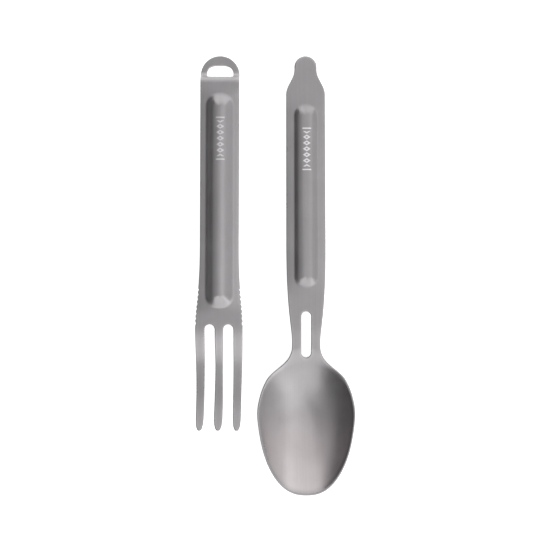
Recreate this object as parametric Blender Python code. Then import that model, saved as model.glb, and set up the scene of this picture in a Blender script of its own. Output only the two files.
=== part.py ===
"""A fork and a spoon for a picnic, each cut and pressed from one flat sheet of titanium.

Each piece is drawn flat, as an outline with its holes, and a height function then says how far the
press moves every point of the sheet. A point of a piece is (x, station): x is across the piece, and
the station runs along it from the end of the handle. Both are in millimetres, and the meshes are
made in metres. The pieces lie side by side, face up, on the plane z = 0.
"""

import math

import bmesh
import bpy
import numpy as np
from mathutils import Matrix, Vector
from mathutils.geometry import delaunay_2d_cdt, interpolate_bezier

METRES = 0.001  # one millimetre

# The sheet, and what both pieces share
SHEET = 1.0  # thickness
HANDLE_WIDTH = 17.1
HANDLE_LENGTH = 118.4  # from the handle's end to the closed end of the gaps between the tines
FLANGE_FALL = 0.45  # how far a handle's edges fall below its middle
RIB_END_SQUARENESS = 2.3  # how square a rib's ends are, seen from above; 2 would be round
RIB_FOOT = 2.0  # how gently a rib's sides run out; 1 would leave a corner
RIB_END_SLOPE = 1.5  # how even the slope of its ends is; 1 would be a cone
LAY_GAP = 6.65  # between the fork's head and the spoon's bowl, as they lie
FORK_TURN = -0.22  # degrees by which the fork lies out of line with the spoon
ROUGHNESS = 0.42  # of the bead-blasted metal

# How the two pieces pack together: the fork turned over, behind the spoon
NEST_DEPTH = 1.5  # from the middle of one sheet to the middle of the other
NEST_GAP = 0.3  # between the faces of the two sheets
TONGUE_CLEARANCE = 1.02  # from the narrow part of the tongue to each end of the ring's hole
SLOT_CLEARANCE = 0.22  # from the middle tine to each side of the slot
NECK_CLEARANCE = 0.16  # from the neck to each outer tine
TIP_CLEARANCE = 4.2  # from the tines' tips to the deepest level of the bowl

# Fork: the ring at the end of its handle, with a D-shaped hole
RING_BAR = 4.3  # from the end of the ring to the hole
HOLE_HEIGHT = 5.35
HOLE_CORNER = 0.9
HOLE_SQUARENESS = 2.8  # 2 would make the hole's round side an ellipse
BEND_LEVEL = 7.0  # where the ring is flat again
BEND_START = 12.4

# Fork: its head and tines
HEAD_WIDTH = 20.9
HEAD_TAPER = 35.0  # length over which the handle widens into the head
TEETH = 7
TOOTH_PITCH = 2.1
TOOTH_DEPTH = 0.42
TEETH_TO_ROOT = 0.5  # from the last notch to the root of the tines
TINE_LENGTH = 45.7
OUTER_TINE_WIDTH = 4.15  # where it leaves the head
OUTER_TINE_TIP = 3.55
MIDDLE_TINE_WIDTH = 3.76
MIDDLE_TINE_WAIST = 3.36
TINE_POINT = 6.2  # length of the rounded point
TINE_SQUARENESS = 2.5  # how blunt it is; 2 would make it an ellipse
DIP_FROM_ROOT = 19.0  # where the tines are lowest
FORK_RIB_START = 16.8
FORK_RIB_TO_ROOT = 6.9
FORK_RIB_WIDTH = 12.8
FORK_RIB_RAMP = 6.2
FORK_RIB_HEIGHT = 2.4
FORK_RIB_SQUARENESS = 2.5  # how flat its top is; 2 would be round

# Spoon: its tongue, handle and neck
TONGUE_WIDTH = 9.75
TONGUE_STRAIGHT = 6.0  # where the tongue starts to spread into the shoulders
SHOULDER = 17.4
SPOON_RIB_START = 21.6
SPOON_RIB_TO_ROOT = 15.9
SPOON_RIB_WIDTH = 10.4
SPOON_RIB_RAMP = 5.4
SPOON_RIB_HEIGHT = 1.5
SPOON_RIB_SQUARENESS = 3.5
NECK_TAPER = 34.9  # from where the handle narrows to the root's station
NECK_FROM_ROOT = 7.6  # from the root's station to the narrowest place
NECK_STRAIGHT = 1.4
SLOT_BEFORE_ROOT = 5.65
SLOT_LENGTH = 19.8

# Spoon: its bowl, an egg-shaped oval that is wider towards the neck
BOWL_FROM_ROOT = 12.6  # from the root's station to where the oval would close at the neck
BOWL_LENGTH = 60.3
BOWL_WIDTH = 41.6  # half way along the oval
BOWL_EGG = 0.18  # how much the width grows from there to the neck, as a share
BOWL_DEPTH = 9.3
BOWL_LEAN = 0.3  # how much the depth grows towards the neck, as a share
BOWL_FALL = 1.4  # how far the rim lies below the handle
BOWL_LIP = 0.5  # height over which the wall turns over at the rim
NECK_LIP = 3.0  # and where the neck runs down into the bowl
NECK_BLEND = 19.0  # length over which one turns into the other
BOWL_ROUNDNESS = 1.1
OVAL_AT_NECK = 1.83  # exponents of the oval: 2 would make it an ellipse
OVAL_AT_TIP = 2.45
OVAL_CHANGE = 12.0  # half the length over which one exponent turns into the other
NECK_JOIN = 11.5  # from the neck's end of the oval to where the neck's curve meets the rim
NECK_HOLD = 0.55  # how far that curve holds straight from the neck, as a share of its length
RIM_HOLD = 0.36  # and how far it follows the rim's direction before it meets it

# How finely the pieces are meshed
LONG_STEP = 3.6
BEND_STEP = 1.3
SHORT_STEP = 2.0
RIB_COLUMNS = (0.0, 0.3, 0.5, 0.64, 0.76, 0.88, 1.0)  # shares of a rib's half width
BOWL_RINGS = (0.965, 0.92, 0.85, 0.76, 0.65, 0.52, 0.38, 0.22)  # shares of the bowl's oval
RIM_TURN = 5.5  # degrees between points on the rim
ARC_STEP = 0.95  # between points on an arc
ARC_TURN = 18.0  # most degrees between them
SLOPE_STEP = 0.01  # over which the slope of a sheet is measured
SHARP_ANGLE = 50.0  # degrees above which an edge is shaded as sharp
TILT_TRIES = 8  # more than enough for a resting piece's tilt to settle

# Sizes that follow from the ones above
RING_DROP = NEST_DEPTH + SHEET + NEST_GAP
TINE_DIP = RING_DROP  # so that the fork lies level on its ring and its tines
TINE_RISE = BOWL_FALL + BOWL_DEPTH - NEST_DEPTH - TIP_CLEARANCE
HOLE_WIDTH = TONGUE_WIDTH + 2 * TONGUE_CLEARANCE
SLOT_WIDTH = MIDDLE_TINE_WIDTH + 2 * SLOT_CLEARANCE
TINE_OPENING = HEAD_WIDTH - 2 * OUTER_TINE_WIDTH  # between the two outer tines
NECK_WIDTH = TINE_OPENING - 2 * NECK_CLEARANCE
FORK_LENGTH = HANDLE_LENGTH + TINE_LENGTH
OVAL_TOP = HANDLE_LENGTH + BOWL_FROM_ROOT
BOWL_MIDDLE = OVAL_TOP + BOWL_LENGTH / 2
SPOON_LENGTH = OVAL_TOP + BOWL_LENGTH
SLOT_START = HANDLE_LENGTH - SLOT_BEFORE_ROOT
SLOT_END = SLOT_START + SLOT_LENGTH


# ---------------------------------------------------------------- curves


def smooth(value, start, end):
    """0 before start, 1 after end, and an S-curve between."""
    share = min(max((value - start) / (end - start), 0.0), 1.0)
    return share * share * (3 - 2 * share)


def fold(value, start, end):
    """0 before start, 1 after end, and two equal arcs between, like a sheet bent there and back."""
    share = min(max((value - start) / (end - start), 0.0), 1.0)
    if share < 0.5:
        return 2 * share * share
    return 1 - 2 * (1 - share) ** 2


def soft_min(first, second, width):
    """The smaller of two heights, with the corner between them rounded."""
    overlap = max(width - abs(first - second), 0.0) / width
    return min(first, second) - overlap * overlap * width / 4


def spread(start, end, step):
    """Evenly spaced values from start to end, about a step apart."""
    count = max(1, round(abs(end - start) / step))
    return [start + (end - start) * index / count for index in range(count + 1)]


def arc(centre, radii, start, end, squareness=2.0):
    """Points on an ellipse, or on a squarer oval. Degrees: 0 is towards +x and 90 towards the tip."""
    turn = min(ARC_TURN, math.degrees(ARC_STEP / max(radii)))
    points = []
    for angle in spread(start, end, turn):
        across = math.cos(math.radians(angle))
        along = math.sin(math.radians(angle))
        across = math.copysign(abs(across) ** (2 / squareness), across)
        along = math.copysign(abs(along) ** (2 / squareness), along)
        points.append((centre[0] + radii[0] * across, centre[1] + radii[1] * along))
    return points


def bezier(start, leave, arrive, end, step):
    """Points on a cubic curve, about a step apart."""
    knots = [Vector((*knot, 0.0)) for knot in (start, leave, arrive, end)]
    steps = max(2, round((knots[3] - knots[0]).length / step))
    return [(point.x, point.y) for point in interpolate_bezier(*knots, steps + 1)]


def side(start, end, leave=0.4, arrive=0.4, step=LONG_STEP):
    """An edge that runs straight along the piece at both ends.

    leave and arrive say how far it holds straight at each end, as shares of its length.
    """
    run = end[1] - start[1]
    out = (start[0], start[1] + leave * run)
    back = (end[0], end[1] - arrive * run)
    return bezier(start, out, back, end, step)


def mirrored(half):
    """A closed loop from its right half, which starts and ends on the middle line."""
    return half + [(-x, station) for x, station in reversed(half[1:-1])]


def joined(*runs):
    """One list of points from several that share their end points."""
    points = list(runs[0])
    for run in runs[1:]:
        points += run[1:] if math.dist(points[-1], run[0]) < SLOPE_STEP else run
    return points


# ---------------------------------------------------------------- pressing a sheet


def rib(x, station, start, end, width, ramp, height, squareness):
    """Height of a rib with rounded sides and with round ends that slope down evenly."""
    across = 2 * abs(x) / width
    along = max(start + ramp - station, station - end + ramp, 0.0) / ramp
    outwards = across**RIB_END_SQUARENESS + along**RIB_END_SQUARENESS
    share = min(outwards ** (1 / RIB_END_SQUARENESS), 1.0)
    endwards = along**RIB_END_SQUARENESS / max(outwards, SLOPE_STEP * SLOPE_STEP)
    top = squareness + (RIB_END_SLOPE - squareness) * endwards
    foot = RIB_FOOT + (RIB_END_SLOPE - RIB_FOOT) * endwards
    return height * (1 - share**top) ** foot


def flange(x, station, start, end, ramp):
    """The shallow arch of a handle, which lets its edges fall away."""
    fullness = smooth(station, start - ramp, start + ramp) * (1 - smooth(station, end - ramp, end + ramp))
    return -FLANGE_FALL * fullness * (2 * x / HANDLE_WIDTH) ** 2


def normal_of(height, x, station):
    """Unit normal of the sheet, in (x, station, z)."""
    across = height(x + SLOPE_STEP, station) - height(x - SLOPE_STEP, station)
    along = height(x, station + SLOPE_STEP) - height(x, station - SLOPE_STEP)
    return Vector((-across, -along, 2 * SLOPE_STEP)).normalized()


def inside(point, loop):
    """Whether a point is inside a closed loop."""
    x, station = point
    crossings = 0
    for (x0, s0), (x1, s1) in zip(loop, loop[1:] + loop[:1]):
        if (s0 > station) != (s1 > station):
            crossings += x < x0 + (station - s0) * (x1 - x0) / (s1 - s0)
    return crossings % 2 == 1


def clearance(point, loops):
    """Distance from a point to the nearest edge of any loop."""
    nearest = math.inf
    for loop in loops:
        starts = np.array(loop)
        runs = np.roll(starts, -1, axis=0) - starts
        shares = ((np.array(point) - starts) * runs).sum(axis=1) / (runs**2).sum(axis=1)
        feet = starts + runs * shares.clip(0, 1)[:, None]
        nearest = min(nearest, np.linalg.norm(feet - point, axis=1).min())
    return nearest


def kept(points, loops, margin):
    """The points that lie on the sheet, at least a margin from every edge."""
    outline, holes = loops[0], loops[1:]
    found = []
    for point in points:
        on_sheet = inside(point, outline) and not any(inside(point, hole) for hole in holes)
        if on_sheet and clearance(point, loops) > margin:
            found.append(point)
    return found


def flat_mesh(loops, inner):
    """Triangles of the flat sheet: its points, its faces and the edges round every loop."""
    points = []
    rims = []
    for loop in loops:
        first = len(points)
        points += loop
        count = len(loop)
        rims += [(first + index, first + (index + 1) % count) for index in range(count)]
    points += inner
    flat = [Vector(point) for point in points]
    found = delaunay_2d_cdt(flat, rims, [], 1, SLOPE_STEP * SLOPE_STEP)
    holes = loops[1:]
    faces = []
    for face in found[2]:
        middle = sum((found[0][index] for index in face), Vector((0.0, 0.0))) / len(face)
        if not any(inside(middle, hole) for hole in holes):
            faces.append(face)
    return points, faces, rims


def press(name, loops, inner, height, length, look):
    """Makes a piece: its flat mesh is raised to the two faces of the sheet and closed round its edges."""
    points, faces, rims = flat_mesh(loops, inner)
    shape = bmesh.new()
    top = []
    bottom = []
    for x, station in points:
        middle = Vector((x, station, height(x, station)))
        half = normal_of(height, x, station) * SHEET / 2
        top.append(shape.verts.new(middle + half))
        bottom.append(shape.verts.new(middle - half))
    for face in faces:
        shape.faces.new([top[index] for index in face])
        shape.faces.new([bottom[index] for index in reversed(face)])
    for start, end in rims:
        shape.faces.new([top[start], top[end], bottom[end], bottom[start]])
    handle_up = Matrix.Translation((0, length / 2, 0)) @ Matrix.Scale(-1, 4, (0, 1, 0))
    bmesh.ops.transform(shape, matrix=Matrix.Scale(METRES, 4) @ handle_up, verts=shape.verts)
    bmesh.ops.recalc_face_normals(shape, faces=shape.faces)
    mesh = bpy.data.meshes.new(name)
    shape.to_mesh(mesh)
    shape.free()
    mesh.shade_smooth()
    mesh.set_sharp_from_angle(angle=math.radians(SHARP_ANGLE))
    mesh.materials.append(look)
    piece = bpy.data.objects.new(name, mesh)
    bpy.context.scene.collection.objects.link(piece)
    return piece


# ---------------------------------------------------------------- the fork


def fork_edge():
    """Right edge of the fork's handle and head, before its teeth are cut."""
    half = HANDLE_WIDTH / 2
    taper = HANDLE_LENGTH - HEAD_TAPER
    end_of_ring = (half, half)
    below_bend = (half, FORK_RIB_START)
    return joined(
        side(end_of_ring, below_bend, step=BEND_STEP),
        side(below_bend, (half, taper)),
        side((half, taper), (HEAD_WIDTH / 2, HANDLE_LENGTH), leave=0.65, arrive=0.25, step=BEND_STEP),
    )


def toothed(edge):
    """The same edge with a row of small round teeth cut into its end."""
    stations = [station for _, station in edge]
    widths = [x for x, _ in edge]
    end = HANDLE_LENGTH - TEETH_TO_ROOT
    start = end - TEETH * TOOTH_PITCH
    smooth_part = [point for point in edge if point[1] < start - SHORT_STEP / 2]
    teeth = []
    for station in spread(start, end, TOOTH_PITCH / 4):
        wave = abs(math.sin(math.pi * (station - start) / TOOTH_PITCH))
        width = np.interp(station, stations, widths)
        teeth.append((float(width) - TOOTH_DEPTH * (1 - wave), station))
    return smooth_part + teeth


def outer_tine():
    """Outer edge, point and inner edge of the right tine, from the head round to its root."""
    shoulder = FORK_LENGTH - TINE_POINT
    inner = TINE_OPENING / 2
    outer_tip = inner + OUTER_TINE_TIP
    middle = (inner + outer_tip) / 2
    root = HANDLE_LENGTH + root_radius()
    return joined(
        side((HEAD_WIDTH / 2, HANDLE_LENGTH + TEETH_TO_ROOT), (outer_tip, shoulder)),
        arc((middle, shoulder), (OUTER_TINE_TIP / 2, TINE_POINT), 0, 180, TINE_SQUARENESS),
        side((inner, shoulder), (inner, root)),
    )


def root_radius():
    """Radius of the closed end of a gap between two tines."""
    return (TINE_OPENING - MIDDLE_TINE_WIDTH) / 4


def middle_tine():
    """Right edge of the middle tine, from its root to its tip."""
    half = MIDDLE_TINE_WIDTH / 2
    waist = (MIDDLE_TINE_WAIST / 2, HANDLE_LENGTH + DIP_FROM_ROOT)
    shoulder = FORK_LENGTH - TINE_POINT
    return joined(
        side((half, HANDLE_LENGTH + root_radius()), waist),
        side(waist, (half, shoulder)),
        arc((0, shoulder), (half, TINE_POINT), 0, 90, TINE_SQUARENESS),
    )


def fork_outline():
    half = HANDLE_WIDTH / 2
    root = (TINE_OPENING / 2 - root_radius(), HANDLE_LENGTH + root_radius())
    return mirrored(
        joined(
            arc((0, half), (half, half), -90, 0),
            toothed(fork_edge()),
            outer_tine(),
            arc(root, (root_radius(), root_radius()), 0, -180),
            middle_tine(),
        )
    )


def ring_hole():
    """The D-shaped hole: a squarish arch over a straight edge with round corners."""
    half = HOLE_WIDTH / 2
    corner = HOLE_CORNER
    foot = RING_BAR + HOLE_HEIGHT - corner
    arch = arc((0, foot), (half, HOLE_HEIGHT - corner), -90, 0, HOLE_SQUARENESS)
    turn = arc((half - corner, foot), (corner, corner), 0, 90)
    return mirrored(joined(arch, turn, [(0.0, foot + corner)]))


def fork_height(x, station):
    rib_end = HANDLE_LENGTH - FORK_RIB_TO_ROOT
    bulge = rib(
        x,
        station,
        FORK_RIB_START,
        rib_end,
        FORK_RIB_WIDTH,
        FORK_RIB_RAMP,
        FORK_RIB_HEIGHT,
        FORK_RIB_SQUARENESS,
    )
    arch = flange(x, station, FORK_RIB_START, rib_end, FORK_RIB_RAMP / 2)
    ring = -RING_DROP * (1 - fold(station, BEND_LEVEL, BEND_START))
    return bulge + arch + ring + tine_height(station)


def tine_height(station):
    """The tines dip below the handle and then curve up to their tips."""
    lowest = HANDLE_LENGTH + DIP_FROM_ROOT
    if station < lowest:
        return -TINE_DIP * smooth(station, HANDLE_LENGTH, lowest)
    share = (station - lowest) / (FORK_LENGTH - lowest)
    return -TINE_DIP + (TINE_DIP + TINE_RISE) * share * share


def handle_rows(rib_start, rib_end, ramp):
    """Stations of the mesh's rows along a rib, closer together on its sloping ends."""
    first = spread(rib_start - BEND_STEP, rib_start + ramp, BEND_STEP)
    middle = spread(rib_start + ramp, rib_end - ramp, LONG_STEP)
    last = spread(rib_end - ramp, rib_end + BEND_STEP, BEND_STEP)
    return first + middle[1:-1] + last


def rib_grid(rows, width):
    """Points in rows across a rib, with one more column on each flange."""
    half = width / 2
    columns = [share * half for share in RIB_COLUMNS] + [(half + HANDLE_WIDTH / 2) / 2]
    points = []
    for station in rows:
        points += [(x, station) for x in columns]
        points += [(-x, station) for x in columns if x > 0]
    return points


def square_grid(half, rows, step):
    """Points in a plain grid, the same on both sides of the middle line."""
    return [(x, station) for station in rows for x in spread(-half, half, step)]


def fork_points(loops):
    rib_end = HANDLE_LENGTH - FORK_RIB_TO_ROOT
    rows = handle_rows(FORK_RIB_START, rib_end, FORK_RIB_RAMP)
    points = rib_grid(rows, FORK_RIB_WIDTH)
    bend = spread(RING_BAR + HOLE_HEIGHT + BEND_STEP / 2, rows[0] - BEND_STEP, BEND_STEP)
    points += square_grid(HANDLE_WIDTH / 2, bend, SHORT_STEP)
    head = spread(rows[-1] + SHORT_STEP, HANDLE_LENGTH, SHORT_STEP)
    points += square_grid(HEAD_WIDTH / 2, head, SHORT_STEP)
    return kept(points, loops, BEND_STEP / 2)


def make_fork():
    loops = [fork_outline(), ring_hole()]
    look = metal("fork_titanium", (0.30, 0.292, 0.300))
    return press("fork", loops, fork_points(loops), fork_height, FORK_LENGTH, look)


# ---------------------------------------------------------------- the spoon


def towards_neck(station):
    """1 at the neck's end of the bowl's oval, 0 half way along and -1 at the tip."""
    return 2 * (BOWL_MIDDLE - station) / BOWL_LENGTH


def oval_exponent(station):
    change = smooth(station, BOWL_MIDDLE - OVAL_CHANGE, BOWL_MIDDLE + OVAL_CHANGE)
    return OVAL_AT_NECK + (OVAL_AT_TIP - OVAL_AT_NECK) * change


def oval(x, station):
    """0 at the middle of the bowl, 1 on its rim and more outside it."""
    along = towards_neck(station)
    across = 2 * abs(x) / (BOWL_WIDTH * (1 + BOWL_EGG * along))
    exponent = oval_exponent(station)
    return abs(along) ** exponent + across**exponent


def rim(angle):
    """A point on the bowl's rim. Degrees: 0 is the neck's end of the oval and 180 the tip."""
    along = math.cos(math.radians(angle))
    station = BOWL_MIDDLE - along * BOWL_LENGTH / 2
    exponent = oval_exponent(station)
    across = (1 - min(abs(along) ** exponent, 1.0)) ** (1 / exponent)
    return (BOWL_WIDTH / 2 * (1 + BOWL_EGG * along) * across, station)


def neck_join():
    """Angle on the rim at which the neck's curve meets it."""
    return math.degrees(math.acos(1 - 2 * NECK_JOIN / BOWL_LENGTH))


def neck_curve():
    """The hollow curve from the neck out to the rim, along the rim's own direction where it ends."""
    half = NECK_WIDTH / 2
    start = (half, HANDLE_LENGTH + NECK_FROM_ROOT + NECK_STRAIGHT)
    angle = neck_join()
    end = rim(angle)
    ahead = rim(angle + RIM_TURN / 4)
    slope = (ahead[0] - end[0]) / (ahead[1] - end[1])
    run = end[1] - start[1]
    drop = RIM_HOLD * run
    leave = (half, start[1] + NECK_HOLD * run)
    arrive = (end[0] - slope * drop, end[1] - drop)
    return bezier(start, leave, arrive, end, BEND_STEP)


def bowl_rim():
    """The rim from where the neck joins it to the tip."""
    return [rim(angle) for angle in spread(neck_join(), 180, RIM_TURN)]


def spoon_outline():
    tip = TONGUE_WIDTH / 2
    half = HANDLE_WIDTH / 2
    taper = HANDLE_LENGTH - NECK_TAPER
    neck = (NECK_WIDTH / 2, HANDLE_LENGTH + NECK_FROM_ROOT)
    return mirrored(
        joined(
            arc((0, tip), (tip, tip), -90, 0),
            side((tip, tip), (tip, TONGUE_STRAIGHT)),
            side((tip, TONGUE_STRAIGHT), (half, SHOULDER), step=BEND_STEP),
            side((half, SHOULDER), (half, taper)),
            side((half, taper), neck, leave=0.7, arrive=0.16, step=SHORT_STEP),
            side(neck, (neck[0], neck[1] + NECK_STRAIGHT)),
            neck_curve(),
            bowl_rim(),
        )
    )


def neck_slot():
    """The long slot, with round ends."""
    radius = SLOT_WIDTH / 2
    first = arc((0, SLOT_START + radius), (radius, radius), -90, 0)
    last = arc((0, SLOT_END - radius), (radius, radius), 0, 90)
    return mirrored(joined(first, side(first[-1], last[0]), last))


def bowl_height(x, station):
    """How far the bowl is pressed down, with a small turn at its rim and a wide one at the neck."""
    depth = BOWL_DEPTH * (1 + BOWL_LEAN * towards_neck(station))
    lip = NECK_LIP + (BOWL_LIP - NECK_LIP) * smooth(station, OVAL_TOP, OVAL_TOP + NECK_BLEND)
    wall = -depth * (1 - oval(x, station) ** BOWL_ROUNDNESS)
    return soft_min(0.0, wall, lip)


def spoon_height(x, station):
    rib_end = HANDLE_LENGTH - SPOON_RIB_TO_ROOT
    bulge = rib(
        x,
        station,
        SPOON_RIB_START,
        rib_end,
        SPOON_RIB_WIDTH,
        SPOON_RIB_RAMP,
        SPOON_RIB_HEIGHT,
        SPOON_RIB_SQUARENESS,
    )
    arch = flange(x, station, SPOON_RIB_START, rib_end, SPOON_RIB_RAMP)
    fall = -BOWL_FALL * smooth(station, HANDLE_LENGTH, OVAL_TOP)
    return bulge + arch + fall + bowl_height(x, station)


def bowl_points():
    """Points on smaller and smaller copies of the bowl's oval."""
    points = [(0.0, BOWL_MIDDLE)]
    for share in BOWL_RINGS:
        half_ring = [rim(angle) for angle in spread(0, 180, RIM_TURN / share)]
        for x, station in mirrored(half_ring):
            points.append((share * x, BOWL_MIDDLE + share * (station - BOWL_MIDDLE)))
    return points


def spoon_points(loops):
    rib_end = HANDLE_LENGTH - SPOON_RIB_TO_ROOT
    rows = handle_rows(SPOON_RIB_START, rib_end, SPOON_RIB_RAMP)
    points = rib_grid(rows, SPOON_RIB_WIDTH)
    tongue = spread(SHORT_STEP, rows[0] - SHORT_STEP, LONG_STEP)
    points += square_grid(HANDLE_WIDTH / 2, tongue, LONG_STEP)
    neck = spread(rows[-1] + SHORT_STEP, OVAL_TOP, SHORT_STEP)
    points += square_grid(HANDLE_WIDTH / 2, neck, SHORT_STEP)
    return kept(points + bowl_points(), loops, BEND_STEP / 2)


def make_spoon():
    loops = [spoon_outline(), neck_slot()]
    look = metal("spoon_titanium", (0.31, 0.30, 0.307))
    return press("spoon", loops, spoon_points(loops), spoon_height, SPOON_LENGTH, look)


# ---------------------------------------------------------------- the set


def metal(name, colour):
    """Bead-blasted titanium, dull and slightly violet."""
    look = bpy.data.materials.new(name)
    look.use_nodes = True
    shader = look.node_tree.nodes["Principled BSDF"]
    shader.inputs["Base Color"].default_value = (*colour, 1.0)
    shader.inputs["Metallic"].default_value = 1.0
    shader.inputs["Roughness"].default_value = ROUGHNESS
    return look


def turned(points, tilt):
    """Side view of the points, as (y, z), after a turn about X."""
    along = points[:, 1] * math.cos(tilt) - points[:, 2] * math.sin(tilt)
    up = points[:, 1] * math.sin(tilt) + points[:, 2] * math.cos(tilt)
    return along, up


def resting_tilt(points):
    """The turn about X at which a piece touches the table on both sides of its middle."""
    tilt = 0.0
    for _ in range(TILT_TRIES):
        along, up = turned(points, tilt)
        far = along > 0
        near_foot = np.argmin(np.where(far, np.inf, up))
        far_foot = np.argmin(np.where(far, up, np.inf))
        rise = up[far_foot] - up[near_foot]
        tilt -= math.atan2(rise, along[far_foot] - along[near_foot])
    return tilt


def lay_down(piece, x, top=None, turn=0.0):
    """Rests a piece on the table, turned by some degrees about Z.

    Its handle's end comes to y = top, or the piece is centred along y if there is no top. Returns the
    y of the handle's end.
    """
    points = np.array([vertex.co for vertex in piece.data.vertices], dtype=float)
    tilt = resting_tilt(points)
    along, up = turned(points, tilt)
    if top is None:
        top = (along.max() - along.min()) / 2
    piece.rotation_euler = (tilt, 0.0, math.radians(turn))
    piece.location = (x * METRES, top - along.max(), -up.min())
    return top


def centre_across(pieces):
    """Moves the pieces together so that the set is centred on x = 0."""
    across = []
    for piece in pieces:
        across += [(piece.matrix_basis @ vertex.co).x for vertex in piece.data.vertices]
    middle = (min(across) + max(across)) / 2
    for piece in pieces:
        piece.location.x -= middle


def clear_scene():
    for item in list(bpy.data.objects):
        bpy.data.objects.remove(item, do_unlink=True)


def main():
    clear_scene()
    spoon = make_spoon()
    fork = make_fork()
    total_width = HEAD_WIDTH + LAY_GAP + BOWL_WIDTH
    top = lay_down(spoon, (total_width - BOWL_WIDTH) / 2)
    lay_down(fork, (HEAD_WIDTH - total_width) / 2, top, FORK_TURN)
    centre_across([spoon, fork])


main()
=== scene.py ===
# %% [markdown]
# # Picnic cutlery: a pressed titanium fork and spoon
#
# The set is two pieces of sheet metal, each cut from one flat blank and pressed to shape. This
# lesson builds them again with rounded edges and a fine mesh, gives them a bead-blasted finish,
# and lights them from above. All numbers are in millimetres until a mesh is made, in metres.

# %% Load the frame
import math

import bmesh
import bpy
import numpy as np
from mathutils import Euler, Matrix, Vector
from mathutils.geometry import delaunay_2d_cdt


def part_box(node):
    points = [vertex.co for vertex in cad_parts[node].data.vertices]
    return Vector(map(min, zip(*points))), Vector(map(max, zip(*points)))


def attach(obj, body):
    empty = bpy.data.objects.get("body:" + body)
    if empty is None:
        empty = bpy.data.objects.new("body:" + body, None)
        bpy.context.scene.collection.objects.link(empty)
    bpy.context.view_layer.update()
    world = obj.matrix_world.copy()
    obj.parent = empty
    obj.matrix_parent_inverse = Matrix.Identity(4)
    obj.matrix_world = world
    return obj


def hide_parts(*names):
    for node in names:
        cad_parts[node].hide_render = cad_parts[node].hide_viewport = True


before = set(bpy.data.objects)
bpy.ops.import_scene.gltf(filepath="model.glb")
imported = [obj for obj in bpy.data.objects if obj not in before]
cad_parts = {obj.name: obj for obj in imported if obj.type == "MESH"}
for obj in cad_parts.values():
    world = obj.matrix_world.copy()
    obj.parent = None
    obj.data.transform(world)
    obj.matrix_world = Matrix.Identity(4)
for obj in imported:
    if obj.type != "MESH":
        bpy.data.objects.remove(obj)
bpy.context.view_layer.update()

MM = 0.001
print("nodes:", sorted(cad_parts))

# %% [markdown]
# ## The sheet
#
# Both pieces come from the same sheet, so they share its thickness and the width of a handle. A
# point of a piece is (x, station): x is across it, and the station runs along it from the handle's
# end. A press only moves each point up or down, so a piece is an outline and a height function.
# Modelling it that way keeps the thickness even everywhere, as it is on the real thing, which a
# sculpted or extruded body wouldn't.

# %% Sizes of the sheet
SHEET = 1.0  # thickness
HANDLE_WIDTH = 17.1
HANDLE_LENGTH = 118.4  # from its end to the roots of the tines
HANDLE_FALL = 0.45  # how far its edges fall below its middle
RIB_END_SQUARENESS = 2.3  # 2 would make a rib's ends elliptical
RIB_FOOT = 2.0  # how gently its sides run out
RIB_END_SLOPE = 1.5  # 1 would make its ends cones
EDGE_ROUND = 0.38  # the tumbled edge, seen from above
EDGE_DROP = 0.36  # and seen from the side
GRAIN_OF_MESH = 0.62  # between points on the faces
EDGE_STEP = 0.42  # between points along an edge
ARC_TURN = 10.0  # most degrees between points on an arc
SLOPE_STEP = 0.01  # over which a slope is measured
print("sheet", SHEET, "mm thick, handles", HANDLE_WIDTH, "mm wide")

# %% [markdown]
# ## Curves in the flat
#
# Every outline is made of a few kinds of run: arcs, and edges that leave and arrive straight along
# the piece. Blender's curve objects could draw them, but points from a formula can be checked and
# offset by hand later. Only the right half is drawn, and the left half is its mirror image.


# %% Helpers for values
def smooth(value, start, end):
    """0 before start, 1 after end, and an S-curve between."""
    share = np.clip((value - start) / (end - start), 0, 1)
    return share * share * (3 - 2 * share)


def fold(value, start, end):
    """Like smooth, but two equal arcs, as of a sheet bent there and back."""
    share = np.clip((value - start) / (end - start), 0, 1)
    return np.where(share < 0.5, 2 * share**2, 1 - 2 * (1 - share) ** 2)


def soft_min(first, second, width):
    """The smaller of two heights, with the corner between them rounded."""
    overlap = np.maximum(width - np.abs(first - second), 0) / width
    return np.minimum(first, second) - overlap**2 * width / 4


# %% Helpers for runs of points
def even(start, end, step):
    """Evenly spaced values from start to end, about a step apart."""
    return np.linspace(start, end, max(2, round(abs(end - start) / step) + 1))


def arc(centre, radii, start, end, squareness=2.0):
    """Points on an oval. Degrees: 0 is towards +x and 90 towards the tip."""
    turn = min(ARC_TURN, math.degrees(EDGE_STEP / max(radii)))
    angles = np.radians(even(start, end, turn))
    across, along = np.cos(angles), np.sin(angles)
    across = np.sign(across) * np.abs(across) ** (2 / squareness)
    along = np.sign(along) * np.abs(along) ** (2 / squareness)
    return np.column_stack([centre[0] + radii[0] * across, centre[1] + radii[1] * along])


def bezier(start, leave, arrive, end):
    """Points on a cubic curve."""
    count = max(3, round(math.dist(start, end) / EDGE_STEP) + 1)
    share = np.linspace(0, 1, count)[:, None]
    back = 1 - share
    knots = [np.array(knot, float) for knot in (start, leave, arrive, end)]
    near = back**3 * knots[0] + 3 * back**2 * share * knots[1]
    return near + 3 * back * share**2 * knots[2] + share**3 * knots[3]


def side(start, end, leave=0.4, arrive=0.4):
    """An edge that runs straight along the piece at both ends."""
    run = end[1] - start[1]
    return bezier(start, (start[0], start[1] + leave * run), (end[0], end[1] - arrive * run), end)


def loop_of(*runs):
    """A closed loop from the runs of its right half, which start and end on the middle line."""
    points = [runs[0]]
    for run in runs[1:]:
        meets = math.dist(points[-1][-1], run[0]) < SLOPE_STEP
        points.append(run[1:] if meets else run)
    half = np.concatenate(points)
    left = half[1:-1][::-1] * (-1, 1)
    return np.concatenate([half, left])


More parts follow.
